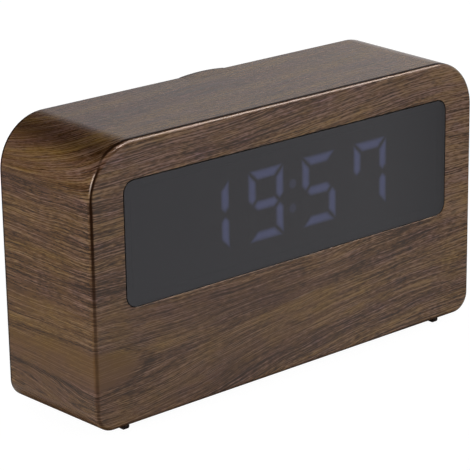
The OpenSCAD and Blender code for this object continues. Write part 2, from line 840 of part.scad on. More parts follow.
// Leads from the tray's top up the face of the main board
module battery_leads() {
    low = bay_top_z + tray_t;
    color("firebrick") for (x = [-1, 1])
        translate([x * lead_x, main_front_y - lead_d / 2, low])
            cylinder(d = lead_d, h = main_base_z + lead_rise - low);
}

module foot_left() {
    color("#2e211b") runner(-1);
}

module foot_right() {
    color("#2e211b") runner(1);
}

case_shell();
display_lens();
light_mask();
lit_segments();
dark_segments();
colon_dots();
segment_lamps();
display_board();
display_screws();
main_board();
main_board_screws();
clock_chip();
capacitor();
ribbon_cable();
ribbon_sockets();
buzzer();
push_switches();
mode_button();
up_button();
down_button();
alarm_button();
mode_plunger();
up_plunger();
down_plunger();
alarm_plunger();
snooze_key();
snooze_switch();
snooze_plunger();
slide_switch();
slide_knob();
inlet_shell();
inlet_tongue();
rear_cover();
cover_screws();
battery_tray();
battery_door();
battery_cells();
spring_contacts();
contact_plates();
battery_leads();
foot_left();
foot_right();
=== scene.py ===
import math
import bmesh
import bpy
from mathutils import Matrix, Vector


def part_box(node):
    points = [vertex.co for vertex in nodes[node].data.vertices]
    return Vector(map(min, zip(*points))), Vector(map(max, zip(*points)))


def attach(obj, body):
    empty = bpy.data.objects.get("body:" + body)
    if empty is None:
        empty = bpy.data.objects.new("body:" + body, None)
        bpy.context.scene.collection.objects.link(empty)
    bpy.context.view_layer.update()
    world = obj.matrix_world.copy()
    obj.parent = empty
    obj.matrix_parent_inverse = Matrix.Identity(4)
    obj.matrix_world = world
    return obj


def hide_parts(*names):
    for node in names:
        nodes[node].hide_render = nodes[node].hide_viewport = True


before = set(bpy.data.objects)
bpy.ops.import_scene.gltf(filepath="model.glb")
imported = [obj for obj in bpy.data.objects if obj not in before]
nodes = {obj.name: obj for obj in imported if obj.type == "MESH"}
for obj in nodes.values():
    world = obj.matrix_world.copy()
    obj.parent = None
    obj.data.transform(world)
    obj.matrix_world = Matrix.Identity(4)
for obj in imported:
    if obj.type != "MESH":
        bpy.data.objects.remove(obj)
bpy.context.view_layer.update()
mm = 0.001
print("frame loaded:", len(nodes), "nodes")


# camera, solved from the outline of the case
cameraView = {"azimuth": -40.9626, "elevation": 18.3081, "roll": -0.9255, "distance": 714.98 * mm, "lens": 171.37,
              "sensor": 36.0, "aim": (-5.575 * mm, 0.0, 43.24 * mm), "clipStart": 10.0 * mm}


def placeCamera():
    view = cameraView
    az, el, roll = (math.radians(view[key]) for key in ("azimuth", "elevation", "roll"))
    back = Vector((math.sin(az) * math.cos(el), -math.cos(az) * math.cos(el), math.sin(el)))
    right = Vector((math.cos(az), math.sin(az), 0.0))
    up = back.cross(right)
    leanRight = math.cos(roll) * right + math.sin(roll) * up
    leanUp = math.cos(roll) * up - math.sin(roll) * right
    camera = bpy.data.objects.new("photoCamera", bpy.data.cameras.new("photoCamera"))
    bpy.context.scene.collection.objects.link(camera)
    camera.data.lens, camera.data.sensor_width = view["lens"], view["sensor"]
    camera.data.clip_start = view["clipStart"]
    place = Matrix((leanRight, leanUp, back)).transposed().to_4x4()
    place.translation = Vector(view["aim"]) + back * view["distance"]
    camera.matrix_world = place
    bpy.context.scene.camera = camera


placeCamera()
print("camera placed")


# small helpers for the node trees
def addNode(tree, kind, inputs=None, **settings):
    node = tree.nodes.new(kind)
    for key, value in settings.items():
        setattr(node, key, value)
    for key, value in (inputs or {}).items():
        feed(tree, node.inputs[key], value)
    return node


def feed(tree, socket, value):
    if isinstance(value, bpy.types.NodeSocket):
        tree.links.new(value, socket)
    else:
        socket.default_value = value


def calc(tree, operation, *values):
    return addNode(tree, "ShaderNodeMath", dict(enumerate(values)), operation=operation).outputs[0]


def plus(tree, first, second):
    return calc(tree, "ADD", first, second)


def minus(tree, first, second):
    return calc(tree, "SUBTRACT", first, second)


def times(tree, value, *factors):
    for factor in factors:
        value = calc(tree, "MULTIPLY", value, factor)
    return value


def over(tree, value, divisor):
    return calc(tree, "DIVIDE", value, divisor)


def greater(tree, first, second):
    return calc(tree, "MAXIMUM", first, second)


def weighted(tree, value, weight, base):
    return calc(tree, "MULTIPLY_ADD", value, weight, base)


def gapTo(tree, value, middle):
    return calc(tree, "ABSOLUTE", minus(tree, value, middle))


# a ramp in the dictionaries is from, to and, where they aren't 0 and 1, the values there
def remap(tree, value, low, high, newLow=0.0, newHigh=1.0, smooth=True):
    spread = {"Value": value, "From Min": low, "From Max": high, "To Min": newLow, "To Max": newHigh}
    kind = "SMOOTHSTEP" if smooth else "LINEAR"
    return addNode(tree, "ShaderNodeMapRange", spread, interpolation_type=kind).outputs["Result"]


def objectPlace(tree):
    return addNode(tree, "ShaderNodeTexCoord").outputs["Object"]


def mask(tree, name):
    return addNode(tree, "ShaderNodeAttribute", attribute_name=name).outputs["Fac"]


def partsOf(tree, vector):
    return addNode(tree, "ShaderNodeSeparateXYZ", {0: vector}).outputs


def stretched(tree, vector, stretch):
    return addNode(tree, "ShaderNodeVectorMath", {0: vector, 1: stretch}, operation="MULTIPLY").outputs[0]


def cloud(tree, vector, size=1.0, detail=2.0, roughness=0.5):
    look = {"Vector": vector, "Scale": size, "Detail": detail, "Roughness": roughness}
    return addNode(tree, "ShaderNodeTexNoise", look).outputs["Fac"]


noiseMiddle = 0.5  # a cloud swings about this value


def blendValue(tree, share, first, second):
    return addNode(tree, "ShaderNodeMix", {0: share, 2: first, 3: second}).outputs[0]


def blendColour(tree, share, first, second, mode="MIX"):
    mix = addNode(tree, "ShaderNodeMix", data_type="RGBA", blend_type=mode)
    for index, value in ((0, share), (6, first), (7, second)):
        feed(tree, mix.inputs[index], value)
    return mix.outputs[2]


def roughen(tree, shader, height, strength, depth):
    bump = addNode(tree, "ShaderNodeBump", {"Height": height, "Strength": strength, "Distance": depth})
    feed(tree, shader.inputs["Normal"], bump.outputs["Normal"])


def srgb(red, green, blue):
    steps = [c / 255 for c in (red, green, blue)]
    return tuple(c / 12.92 if c <= 0.04045 else ((c + 0.055) / 1.055) ** 2.4 for c in steps) + (1.0,)


white = (1.0, 1.0, 1.0, 1.0)
black = (0.0, 0.0, 0.0, 1.0)


def newMaterial(name, **sockets):
    material = bpy.data.materials.new(name)
    material.use_nodes = True
    tree = material.node_tree
    shader = tree.nodes["Principled BSDF"]
    for key, value in sockets.items():
        shader.inputs[key.replace("_", " ")].default_value = value
    return material, tree, shader


# fine moulded or rolled grain, shared by every plain finish
grainMake = {"fineDetail": 3.0, "fineRough": 0.6, "fineShare": 0.35, "cloudShare": 0.65}


def makeGrainGroup():
    group = bpy.data.node_groups.new("fineGrain", "ShaderNodeTree")
    for name, kind in (("Place", "NodeSocketVector"), ("Grain Size", "NodeSocketFloat"),
                       ("Cloud Size", "NodeSocketFloat")):
        group.interface.new_socket(name=name, in_out="INPUT", socket_type=kind)
    for name in ("Mottle", "Height"):
        group.interface.new_socket(name=name, in_out="OUTPUT", socket_type="NodeSocketFloat")
    place, grainSize, cloudSize = group.nodes.new("NodeGroupInput").outputs[:3]
    out = group.nodes.new("NodeGroupOutput")
    fine = cloud(group, place, grainSize, grainMake["fineDetail"], grainMake["fineRough"])
    broad = cloud(group, place, cloudSize)
    mottle = weighted(group, broad, grainMake["cloudShare"], times(group, fine, grainMake["fineShare"]))
    group.links.new(mottle, out.inputs["Mottle"])
    group.links.new(fine, out.inputs["Height"])
    return group


grainGroup = makeGrainGroup()


# plain finishes: dark and light colour, roughness range, grain and cloud sizes per metre, bump depth, stretch
plainFinishes = {
    "rearPlastic": {"dark": srgb(44, 44, 46), "light": srgb(56, 56, 58), "rough": (0.42, 0.56), "grain": 2600,
                    "cloud": 60, "bump": 0.05},
    "maskPlastic": {"dark": srgb(12, 12, 13), "light": srgb(20, 20, 21), "rough": (0.7, 0.85), "grain": 1800,
                    "cloud": 80, "bump": 0.02},
    "darkGuide": {"dark": srgb(18, 18, 20), "light": srgb(24, 24, 27), "rough": (0.4, 0.5), "grain": 900,
                  "cloud": 120, "bump": 0.01},
    "lampResin": {"dark": srgb(214, 206, 170), "light": srgb(234, 228, 196), "rough": (0.2, 0.3), "grain": 900,
                  "cloud": 300, "bump": 0.01},
    "screwSteel": {"dark": srgb(150, 150, 152), "light": srgb(196, 196, 199), "rough": (0.26, 0.4), "grain": 3200,
                   "cloud": 700, "bump": 0.015, "metal": 1.0},
    "chipResin": {"dark": srgb(28, 28, 30), "light": srgb(40, 40, 42), "rough": (0.45, 0.6), "grain": 2200,
                  "cloud": 200, "bump": 0.03},
    "canMetal": {"dark": srgb(176, 176, 180), "light": srgb(216, 216, 220), "rough": (0.22, 0.36), "grain": 900,
                 "cloud": 160, "bump": 0.01, "metal": 1.0, "stretch": (0.15, 1.0, 1.0)},
    "socketPlastic": {"dark": srgb(216, 210, 192), "light": srgb(232, 227, 212), "rough": (0.45, 0.55),
                      "grain": 1500, "cloud": 150, "bump": 0.02},
    "buttonPlastic": {"dark": srgb(58, 58, 60), "light": srgb(70, 70, 72), "rough": (0.3, 0.4), "grain": 2400,
                      "cloud": 140, "bump": 0.025},
    "plungerPlastic": {"dark": srgb(160, 142, 116), "light": srgb(182, 164, 138), "rough": (0.45, 0.55),
                       "grain": 1500, "cloud": 260, "bump": 0.02},
    "contactSteel": {"dark": srgb(164, 161, 152), "light": srgb(206, 203, 196), "rough": (0.24, 0.36), "grain": 1600,
                     "cloud": 240, "bump": 0.01, "metal": 1.0, "stretch": (1.0, 0.2, 1.0)},
    "leadSleeve": {"dark": srgb(132, 22, 18), "light": srgb(158, 32, 26), "rough": (0.4, 0.5), "grain": 1400,
                   "cloud": 120, "bump": 0.02},
    "footRubber": {"dark": srgb(36, 26, 22), "light": srgb(50, 37, 31), "rough": (0.6, 0.75), "grain": 1800,
                   "cloud": 90, "bump": 0.04},
}
plainMake = {"colourSpan": (0.35, 0.65), "roughSpan": (0.3, 0.7), "bump": 0.6}  # spans of the mottle, bump strength


def makePlain(name):
    look = plainFinishes[name]
    material, tree, shader = newMaterial(name, Metallic=look.get("metal", 0.0))
    place = objectPlace(tree)
    if "stretch" in look:
        place = stretched(tree, place, look["stretch"])
    grain = addNode(tree, "ShaderNodeGroup", node_tree=grainGroup)
    for key, value in (("Place", place), ("Grain Size", look["grain"]), ("Cloud Size", look["cloud"])):
        feed(tree, grain.inputs[key], value)
    mottle, height = grain.outputs["Mottle"], grain.outputs["Height"]
    share = remap(tree, mottle, *plainMake["colourSpan"])
    feed(tree, shader.inputs["Base Color"], blendColour(tree, share, look["dark"], look["light"]))
    feed(tree, shader.inputs["Roughness"], remap(tree, mottle, *plainMake["roughSpan"], *look["rough"]))
    roughen(tree, shader, height, plainMake["bump"], look["bump"] * mm)
    return material


finishes = {name: makePlain(name) for name in plainFinishes}


# printed walnut film, read from its own sheet in millimetres: along it, across it and the depth behind the front
# the fold colour is painted shade on the edges and along the upper bends; the core colour is the bare case, and
# painted shade on the right and upper sides of the window's rim
filmColours = {"dark": srgb(56, 33, 10), "middle": srgb(101, 70, 43), "light": srgb(137, 106, 81),
               "pore": srgb(40, 25, 13), "foldShade": srgb(38, 20, 8), "core": srgb(20, 15, 13)}

# the grain sways, spreads round a plain eye low on the left front edge and closes up to both sides of it
filmEye = {"along": -84.0, "half": 6.0, "stretch": 3.5, "tail": 8.0, "fade": (0.7, 1.2), "outline": 1.15,
           "axis": (-70.0, 75.0, 22.0, 31.0), "spread": (0.62, 0.4), "spreadLeft": (28.0, 200.0),
           "spreadRight": 80.0, "spreadUp": 30.0, "turning": -2.0, "wide": (0.68, 1.05)}
filmDrift = {"sway": ((0.012, 0.04, 0.0), 5.0), "ripple": ((0.05, 0.15, 0.0), 1.4)}  # noise per millimetre, height


def bendGrain(tree, film, along, across):
    look = filmEye
    rise = across
    for size, height in filmDrift.values():
        drift = minus(tree, cloud(tree, stretched(tree, film, size)), noiseMiddle)
        rise = weighted(tree, drift, height, rise)
    rise = minus(tree, rise, remap(tree, along, *look["axis"]))
    fromEye = minus(tree, along, look["along"])
    rightward, leftward = (calc(tree, limit, fromEye, 0.0) for limit in ("MAXIMUM", "MINIMUM"))
    eyeSpan = (-look["half"], look["half"])
    left = over(tree, leftward, remap(tree, rise, *eyeSpan, *look["spreadLeft"]))
    sideways = plus(tree, over(tree, rightward, look["spreadRight"]), left)
    upward = over(tree, rise, look["spreadUp"])
    upSquare = times(tree, upward, upward)
    away = weighted(tree, sideways, sideways, upSquare)
    fall = calc(tree, "EXPONENT", times(tree, away, -1.0))
    eased = times(tree, remap(tree, rise, *eyeSpan, *look["spread"]), fall)
    closed = times(tree, rise, minus(tree, 1.0, eased))
    sheet = addNode(tree, "ShaderNodeCombineXYZ", {0: along, 1: closed}).outputs[0]
    opening = times(tree, eased, weighted(tree, upSquare, look["turning"], 1.0))
    wide = remap(tree, minus(tree, 1.0, opening), *look["wide"])
    reach = plus(tree, over(tree, rightward, look["stretch"]), over(tree, leftward, look["tail"]))
    ring = calc(tree, "SQRT", weighted(tree, rise, rise, times(tree, reach, reach)))
    return sheet, wide, ring


# noise along and across the sheet, per millimetre, with its detail and roughness; strands are finer near the eye
filmGrain = {"broad": (0.008, 0.09, 1.0, 0.5), "band": (0.016, 0.34, 2.0, 0.55), "vein": (0.012, 0.3, 1.0, 0.5)}
filmStrands = {"streak": (0.03, 2.0), "fine": (0.42, 2.3), "dash": (0.2, 1.8)}
strandMake = {"nearEye": 3.0, "rough": 0.55}


def makeGrain(tree, sheet, wide):
    def noise(length, fineness, detail=1.0, rough=strandMake["rough"]):
        return cloud(tree, stretched(tree, sheet, (length, fineness, 1.0)), 1.0, detail, rough)

    grain = {name: noise(*size) for name, size in filmGrain.items()}
    for name, (length, fineness) in filmStrands.items():
        near = noise(length, strandMake["nearEye"] * fineness)
        grain[name] = blendValue(tree, wide, near, noise(length, fineness))
    return grain


# weights of the grain in the tone, then ramps that calm, lift or lower it in places
filmTone = {"broad": 0.85, "band": 0.7, "streak": 2.4, "fine": 1.9, "level": 2.9, "middle": 0.5,
            "calm": (-92.0, -80.0, 0.45, 0.8), "lively": (-90.0, -80.0, 0.69, 1.08),
            "eyeLift": (-88.0, -78.0, -0.02, 0.03), "eyeLine": (0.0, 1.1, 0.32, 0.0),
            "rightLift": (45.0, 78.0, 0.0, 0.34), "rightUp": (25.0, 50.0, 0.3, 1.0),
            "topLift": (76.0, 86.0, 0.0, 0.15), "leftDrop": (-86.0, -80.0, 0.12, 0.0), "leftDropAt": 78.5,
            "leftDropFade": (2.0, 5.0, 1.0, 0.0), "ridge": (0.0, 0.03, 0.28, 0.0)}


def toneFilm(tree, along, across, grain, slow, eye, ring):
    look = filmTone
    tone = minus(tree, slow, look["level"])
    for name in ("streak", "fine"):
        tone = weighted(tree, grain[name], look[name], tone)
    calm = times(tree, eye, remap(tree, along, *look["calm"]))
    lively = times(tree, remap(tree, along, *look["lively"]), minus(tree, 1.0, calm))
    tone = weighted(tree, tone, lively, look["middle"])
    tone = weighted(tree, eye, remap(tree, along, *look["eyeLift"]), tone)
    rightLift = times(tree, remap(tree, along, *look["rightLift"]), remap(tree, across, *look["rightUp"]))
    for lift in (rightLift, remap(tree, across, *look["topLift"])):
        tone = plus(tree, tone, lift)
    leftFade = remap(tree, gapTo(tree, across, look["leftDropAt"]), *look["leftDropFade"])
    leftDrop = times(tree, remap(tree, along, *look["leftDrop"]), leftFade)
    eyeLine = remap(tree, gapTo(tree, ring, filmEye["outline"] * filmEye["half"]), *look["eyeLine"])
    ridge = remap(tree, gapTo(tree, grain["vein"], noiseMiddle), *look["ridge"])
    for drop in (leftDrop, eyeLine, times(tree, ridge, minus(tree, 1.0, eye))):
        tone = minus(tree, tone, drop)
    return tone


# share of blue that the film keeps: less in its broad light parts, in patches, on the right and in the eye
filmTint = {"patch": (0.12, 0.16, 0.0), "patchTint": (0.28, 0.72, 1.22, 0.78), "slowTint": (0.55, 1.0, 1.4, 0.6),
            "leftTint": (-96.0, -80.0, 0.9, 1.03), "rightTint": (50.0, 75.0, 1.0, 0.9), "eyeLoss": -0.2,
            "bendLeft": (-84.0, -80.0, 0.14, 0.0), "bendFrom": (66.0, 78.0), "bendTo": (80.0, 86.0, 1.0, 0.0)}


def tintFilm(tree, film, along, across, slow, eye):
    look = filmTint
    patch = cloud(tree, stretched(tree, film, look["patch"]), 1.0, 1.0)
    blue = times(tree, remap(tree, patch, *look["patchTint"], smooth=False),
                 remap(tree, slow, *look["slowTint"], smooth=False))
    blue = times(tree, blue, remap(tree, along, *look["leftTint"]), remap(tree, along, *look["rightTint"]))
    leftBend = times(tree, remap(tree, along, *look["bendLeft"]), remap(tree, across, *look["bendFrom"]),
                     remap(tree, across, *look["bendTo"]))
    blue = times(tree, blue, plus(tree, leftBend, 1.0), weighted(tree, eye, look["eyeLoss"], 1.0))
    return addNode(tree, "ShaderNodeCombineColor", {0: 1.0, 1: 1.0, 2: blue}).outputs[0]


# dark lines on the rounded front, rear and right edges: painted shade along the film's fold over these edges
foldShadeLook = {"line": (83.0, 90.5, 0.35, 1.5), "narrower": (72.0, 78.0, 1.0, 1.5), "broader": (86.0, 91.0, 0.0, 0.5),
            "soft": (0.1, 0.6, 1.0, 0.0), "start": (0.02, 0.15), "upward": (20.0, 70.0, 0.45, 1.0), "turnAt": 86.5,
            "turn": (0.0, 3.5, 0.5, 1.0), "pastTurn": (0.0, 20.0), "rearStart": (42.7, 43.3),
            "rearEnd": (44.1, 44.25, 1.0, 0.0), "rightLine": (79.0, 91.0, 0.05, 0.9), "rightSoft": (0.0, 0.25),
            "rightEnd": (1.2, 1.7, 1.0, 0.0), "rightSide": (62.0, 68.0), "rightUpward": (55.0, 80.0, 0.3, 1.0)}


def paintFoldShade(tree, along, across, depth):
    look = foldShadeLook
    gap = gapTo(tree, depth, remap(tree, across, *look["line"]))
    gap = times(tree, gap, remap(tree, across, *look["narrower"]))
    gap = minus(tree, gap, remap(tree, across, *look["broader"]))
    front = times(tree, remap(tree, gap, *look["soft"]), remap(tree, depth, *look["start"]),
                  remap(tree, across, *look["upward"]))
    turn = remap(tree, gapTo(tree, across, look["turnAt"]), *look["turn"])
    front = times(tree, front, greater(tree, turn, remap(tree, along, *look["pastTurn"])))
    rear = times(tree, remap(tree, depth, *look["rearStart"]), remap(tree, depth, *look["rearEnd"]))
    past = minus(tree, depth, remap(tree, across, *look["rightLine"]))
    right = times(tree, remap(tree, past, *look["rightSoft"]), remap(tree, depth, *look["rightEnd"]),
                  remap(tree, along, *look["rightSide"]), remap(tree, across, *look["rightUpward"]))
    return greater(tree, greater(tree, front, rear), right)


filmFinish = {"toMiddle": (0.05, 0.5), "toLight": (0.5, 0.95), "pores": (0.52, 0.64), "poreShare": 0.5,
              "bendShadeShare": 0.6, "rough": (0.3, 0.7, 0.2, 0.3), "shine": 0.4, "shineLoss": -0.38, "poreDepth": -0.7,
              "bump": 0.35, "bumpDepth": 0.015 * mm}


def makeWalnut():
    look, colours = filmFinish, filmColours
    material, tree, shader = newMaterial("walnutFoil")
    film = addNode(tree, "ShaderNodeAttribute", attribute_name="film").outputs["Vector"]
    along, across, depth = partsOf(tree, film)
    sheet, wide, ring = bendGrain(tree, film, along, across)
    inner, outer = (share * filmEye["half"] for share in filmEye["fade"])
    eye = remap(tree, ring, inner, outer, 1.0, 0.0)
    grain = makeGrain(tree, sheet, wide)
    slow = weighted(tree, grain["broad"], filmTone["broad"], times(tree, grain["band"], filmTone["band"]))
    tone = toneFilm(tree, along, across, grain, slow, eye, ring)
    colour = blendColour(tree, remap(tree, tone, *look["toMiddle"]), colours["dark"], colours["middle"])
    colour = blendColour(tree, remap(tree, tone, *look["toLight"]), colour, colours["light"])
    pores = times(tree, remap(tree, grain["dash"], *look["pores"]), minus(tree, 1.0, eye))
    colour = blendColour(tree, times(tree, pores, look["poreShare"]), colour, colours["pore"])
    colour = blendColour(tree, 1.0, colour, tintFilm(tree, film, along, across, slow, eye), "MULTIPLY")
    # painted shade along the edges, as dark lines in the fold colour
    foldShade = paintFoldShade(tree, along, across, depth)
    # painted shade along the upper bends, in the same dark colour
    for share in (foldShade, times(tree, mask(tree, "bend"), look["bendShadeShare"])):
        colour = blendColour(tree, share, colour, colours["foldShade"])
    # the bare core of the case, and painted shade on the right and upper sides of the window's rim
    core = mask(tree, "core")
    feed(tree, shader.inputs["Base Color"], blendColour(tree, core, colour, colours["core"]))
    feed(tree, shader.inputs["Roughness"], remap(tree, grain["streak"], *look["rough"]))
    # the painted shade and the bare core lose most of their reflection
    dull = weighted(tree, greater(tree, foldShade, core), look["shineLoss"], look["shine"])
    feed(tree, shader.inputs["Specular IOR Level"], dull)
    roughen(tree, shader, weighted(tree, pores, look["poreDepth"], grain["streak"]), look["bump"], look["bumpDepth"])
    return material


finishes["walnutFoil"] = makeWalnut()


# smoked window
lensLook = {"tint": (0.11, 0.11, 0.115, 1.0), "deepTint": (0.095, 0.095, 0.1, 1.0), "haze": 45.0, "ior": 1.555,
            "shine": (0.94, 0.925, 1.0, 1.0)}


def makeLens():
    look = lensLook
    material, tree, shader = newMaterial("smokedAcrylic", IOR=look["ior"], Transmission_Weight=1.0, Roughness=0.0,
                                         Specular_Tint=look["shine"])
    haze = cloud(tree, objectPlace(tree), look["haze"])
    feed(tree, shader.inputs["Base Color"], blendColour(tree, haze, look["tint"], look["deepTint"]))
    return material


# lit digits and their dim colon
glowLook = {"glow": srgb(153, 165, 235), "digits": 1.12, "dots": 0.3, "milk": 260.0, "milkRamp": (0.3, 0.7, 0.85, 1.0),
            "dark": srgb(30, 30, 34), "light": srgb(60, 60, 70), "rough": 0.5}


def makeGlow(name, strength, fades):
    look = glowLook
    material, tree, shader = newMaterial(name, Roughness=look["rough"], Emission_Strength=1.0)
    milk = remap(tree, cloud(tree, objectPlace(tree), look["milk"]), *look["milkRamp"])
    if fades:
        milk = times(tree, milk, mask(tree, "glow"))
    lit = blendColour(tree, times(tree, milk, strength), black, look["glow"])
    feed(tree, shader.inputs["Emission Color"], lit)
    feed(tree, shader.inputs["Base Color"], blendColour(tree, milk, look["dark"], look["light"]))
    return material


finishes["smokedAcrylic"] = makeLens()
finishes["litGuide"] = makeGlow("litGuide", glowLook["digits"], True)
finishes["dotGuide"] = makeGlow("dotGuide", glowLook["dots"], False)


# circuit board with tracks under its green mask
boardLook = {"mask": srgb(18, 74, 38), "track": srgb(34, 104, 56), "pitch": 420.0, "gap": 0.06, "length": 1.6,
             "field": (0.25, 0.25, 0.25, 1.0), "mottle": 400.0, "rough": (0.3, 0.7, 0.28, 0.4), "coat": 0.3,
             "bump": 0.4, "bumpDepth": 0.03 * mm}


def makeBoard():
    look = boardLook
    material, tree, shader = newMaterial("circuitBoard", Coat_Weight=look["coat"])
    place = objectPlace(tree)
    upright = {"Vector": place, "Rotation": (math.radians(90), 0.0, 0.0)}
    turned = addNode(tree, "ShaderNodeMapping", upright).outputs[0]
    tracks = addNode(tree, "ShaderNodeTexBrick", {"Vector": turned, "Scale": look["pitch"], "Mortar Size": look["gap"],
                                                  "Brick Width": look["length"], "Color1": black,
                                                  "Color2": look["field"], "Mortar": white})
    share = addNode(tree, "ShaderNodeRGBToBW", {0: tracks.outputs["Color"]}).outputs[0]
    feed(tree, shader.inputs["Base Color"], blendColour(tree, share, look["mask"], look["track"]))
    feed(tree, shader.inputs["Roughness"], remap(tree, cloud(tree, place, look["mottle"]), *look["rough"]))
    roughen(tree, shader, share, look["bump"], look["bumpDepth"])
    return material


finishes["circuitBoard"] = makeBoard()


# white flat cable with its cores
ribbonLook = {"groove": srgb(176, 176, 172), "core": srgb(222, 222, 218), "pitch": 310.0,
              "rough": (0.0, 1.0, 0.35, 0.5), "bump": 0.5, "bumpDepth": 0.1 * mm}


def makeRibbon():
    look = ribbonLook
    material, tree, shader = newMaterial("ribbonFilm")
    wave = {"Vector": objectPlace(tree), "Scale": look["pitch"], "Distortion": 0.0}
    cores = addNode(tree, "ShaderNodeTexWave", wave, bands_direction="X").outputs["Fac"]
    feed(tree, shader.inputs["Base Color"], blendColour(tree, cores, look["groove"], look["core"]))
    feed(tree, shader.inputs["Roughness"], remap(tree, cores, *look["rough"]))
    roughen(tree, shader, cores, look["bump"], look["bumpDepth"])
    return material


# cell sleeves with bright ends
cellLook = {"sleeve": srgb(44, 58, 86), "sleeveLight": srgb(50, 66, 95), "steel": srgb(196, 196, 198),
            "mottle": 180.0, "detail": 3.0, "rough": (0.3, 0.7, 0.24, 0.36)}


def makeSleeve():
    look = cellLook
    material, tree, shader = newMaterial("cellSleeve")
    bare = mask(tree, "bare")
    mottle = cloud(tree, objectPlace(tree), look["mottle"], look["detail"])
    colour = blendColour(tree, mottle, look["sleeve"], look["sleeveLight"])
    feed(tree, shader.inputs["Base Color"], blendColour(tree, bare, colour, look["steel"]))
    feed(tree, shader.inputs["Metallic"], bare)
    feed(tree, shader.inputs["Roughness"], remap(tree, mottle, *look["rough"]))
    return material


finishes["ribbonFilm"] = makeRibbon()
finishes["cellSleeve"] = makeSleeve()
print("finishes made:", len(finishes))


# mesh helpers: angles in degrees above which edges shade sharp or are rounded, angle taken as flat, merge distance
meshMake = {"sharp": 40.0, "crisp": 30.0, "flat": 0.5, "merge": 0.001 * mm}


def markSharp(bm):
    limit = math.radians(meshMake["sharp"])
    for face in bm.faces:
        face.smooth = True
    for edge in bm.edges:
        edge.smooth = len(edge.link_faces) == 2 and edge.calc_face_angle(0.0) < limit


def pieceFrom(bm, name):
    markSharp(bm)
    mesh = bpy.data.meshes.new(name)
    bm.to_mesh(mesh)
    bm.free()
    piece = bpy.data.objects.new(name, mesh)
    bpy.context.scene.collection.objects.link(piece)
    return piece


def dress(piece, finish, body, slotName, *replaced):
    piece.data.materials.clear()
    piece.data.materials.append(finishes[finish])
    even = piece.modifiers.new("evenShade", "WEIGHTED_NORMAL")
    even.keep_sharp = True
    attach(piece, body)
    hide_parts(*replaced)
    return piece


def roundOff(bm, geom, width, segments, affect="EDGES"):
    bmesh.ops.bevel(bm, geom=geom, offset=width, offset_type="OFFSET", segments=segments, profile=0.5,
                    affect=affect, material=-1, clamp_overlap=False)


def pushLoop(bm, edges):
    made = bmesh.ops.extrude_edge_only(bm, edges=edges)["geom"]
    verts = [g for g in made if isinstance(g, bmesh.types.BMVert)]
    fresh = set(verts)
    rim = [g for g in made if isinstance(g, bmesh.types.BMEdge) and g.verts[0] in fresh and g.verts[1] in fresh]
    return verts, rim


def setDepth(verts, y):
    for v in verts:
        v.co.y = y


def roundedPanel(bm, low, high, y, corner, segments):
    corners = ((low[0], low[1]), (high[0], low[1]), (high[0], high[1]), (low[0], high[1]))
    verts = [bm.verts.new((x, y, z)) for x, z in corners]
    bm.faces.new(verts)
    roundOff(bm, verts, corner, segments, "VERTICES")


def boxAt(bm, low, high):
    size = [b - a for a, b in zip(low, high)]
    middle = [(a + b) / 2 for a, b in zip(low, high)]
    bmesh.ops.create_cube(bm, size=1.0, matrix=Matrix.Translation(middle) @ Matrix.Diagonal((*size, 1.0)))


def carve(piece, cutter):
    cut = piece.modifiers.new("cut", "BOOLEAN")
    cut.operation, cut.solver, cut.object = "DIFFERENCE", "EXACT", cutter
    graph = bpy.context.evaluated_depsgraph_get()
    carved = bpy.data.meshes.new_from_object(piece.evaluated_get(graph))
    bm = bmesh.new()
    bm.from_mesh(carved)
    markSharp(bm)
    bm.to_mesh(carved)
    bm.free()
    piece.modifiers.clear()
    piece.data = carved
    bpy.data.objects.remove(cutter)


# outline of the case: half width, low and high side, upper and lower corner radius
caseBlock = {"half": 80.0 * mm, "low": 2.4 * mm, "high": 91.0 * mm, "upper": 16.5 * mm, "lower": 6.4 * mm}
caseMake = {"front": -22.3 * mm, "back": 22.3 * mm, "middle": 45.0 * mm, "sideDraft": 0.3 * mm, "topDraft": 0.85 * mm,
            "edge": 1.5 * mm, "cornerSteps": 20, "lowerSteps": 10, "edgeSteps": 6, "depthSteps": 14, "rim": 1.8 * mm,
            "wall": 3.0 * mm, "rebate": 18.9 * mm, "innerFront": -19.1 * mm}
windowCut = {"low": (-67.6 * mm, 39.35 * mm), "high": (67.6 * mm, 78.95 * mm), "corner": 4.0 * mm, "cornerSteps": 8,
             "rim": 0.35 * mm, "rimSteps": 4, "ledge": 3.0 * mm, "ledgeDepth": -20.7 * mm}


def shrunk(outline, inset):
    return {key: value + (inset if key == "low" else -inset) for key, value in outline.items()}


# moves a loop from one outline to another, about the centres of its corners
def refit(verts, old, new):
    for v in verts:
        side = 1.0 if v.co.x > 0 else -1.0
        upper = v.co.z > caseMake["middle"]
        key = "upper" if upper else "lower"
        centres = []
        for o in (old, new):
            centres.append((side * (o["half"] - o[key]), o["high"] - o[key] if upper else o["low"] + o[key]))
        share = new[key] / old[key]
        v.co.x = centres[1][0] + (v.co.x - centres[0][0]) * share
        v.co.z = centres[1][1] + (v.co.z - centres[0][1]) * share


# depth behind the front, and the drafted outline there
def blockAt(co):
    depth = co.y - caseMake["front"]
    share = depth / (caseMake["back"] - caseMake["front"])
    half = caseBlock["half"] + caseMake["sideDraft"] * share
    low = caseBlock["low"] - caseMake["topDraft"] * share
    high = caseBlock["high"] + caseMake["topDraft"] * share
    upperGap = Vector((abs(co.x) - half + caseBlock["upper"], co.z - high + caseBlock["upper"]))
    return depth, half, low, high, upperGap


def inWindow(co):
    rim = windowCut["rim"]
    return all(low - rim < c < high + rim for low, c, high in zip(windowCut["low"], (co.x, co.z), windowCut["high"]))


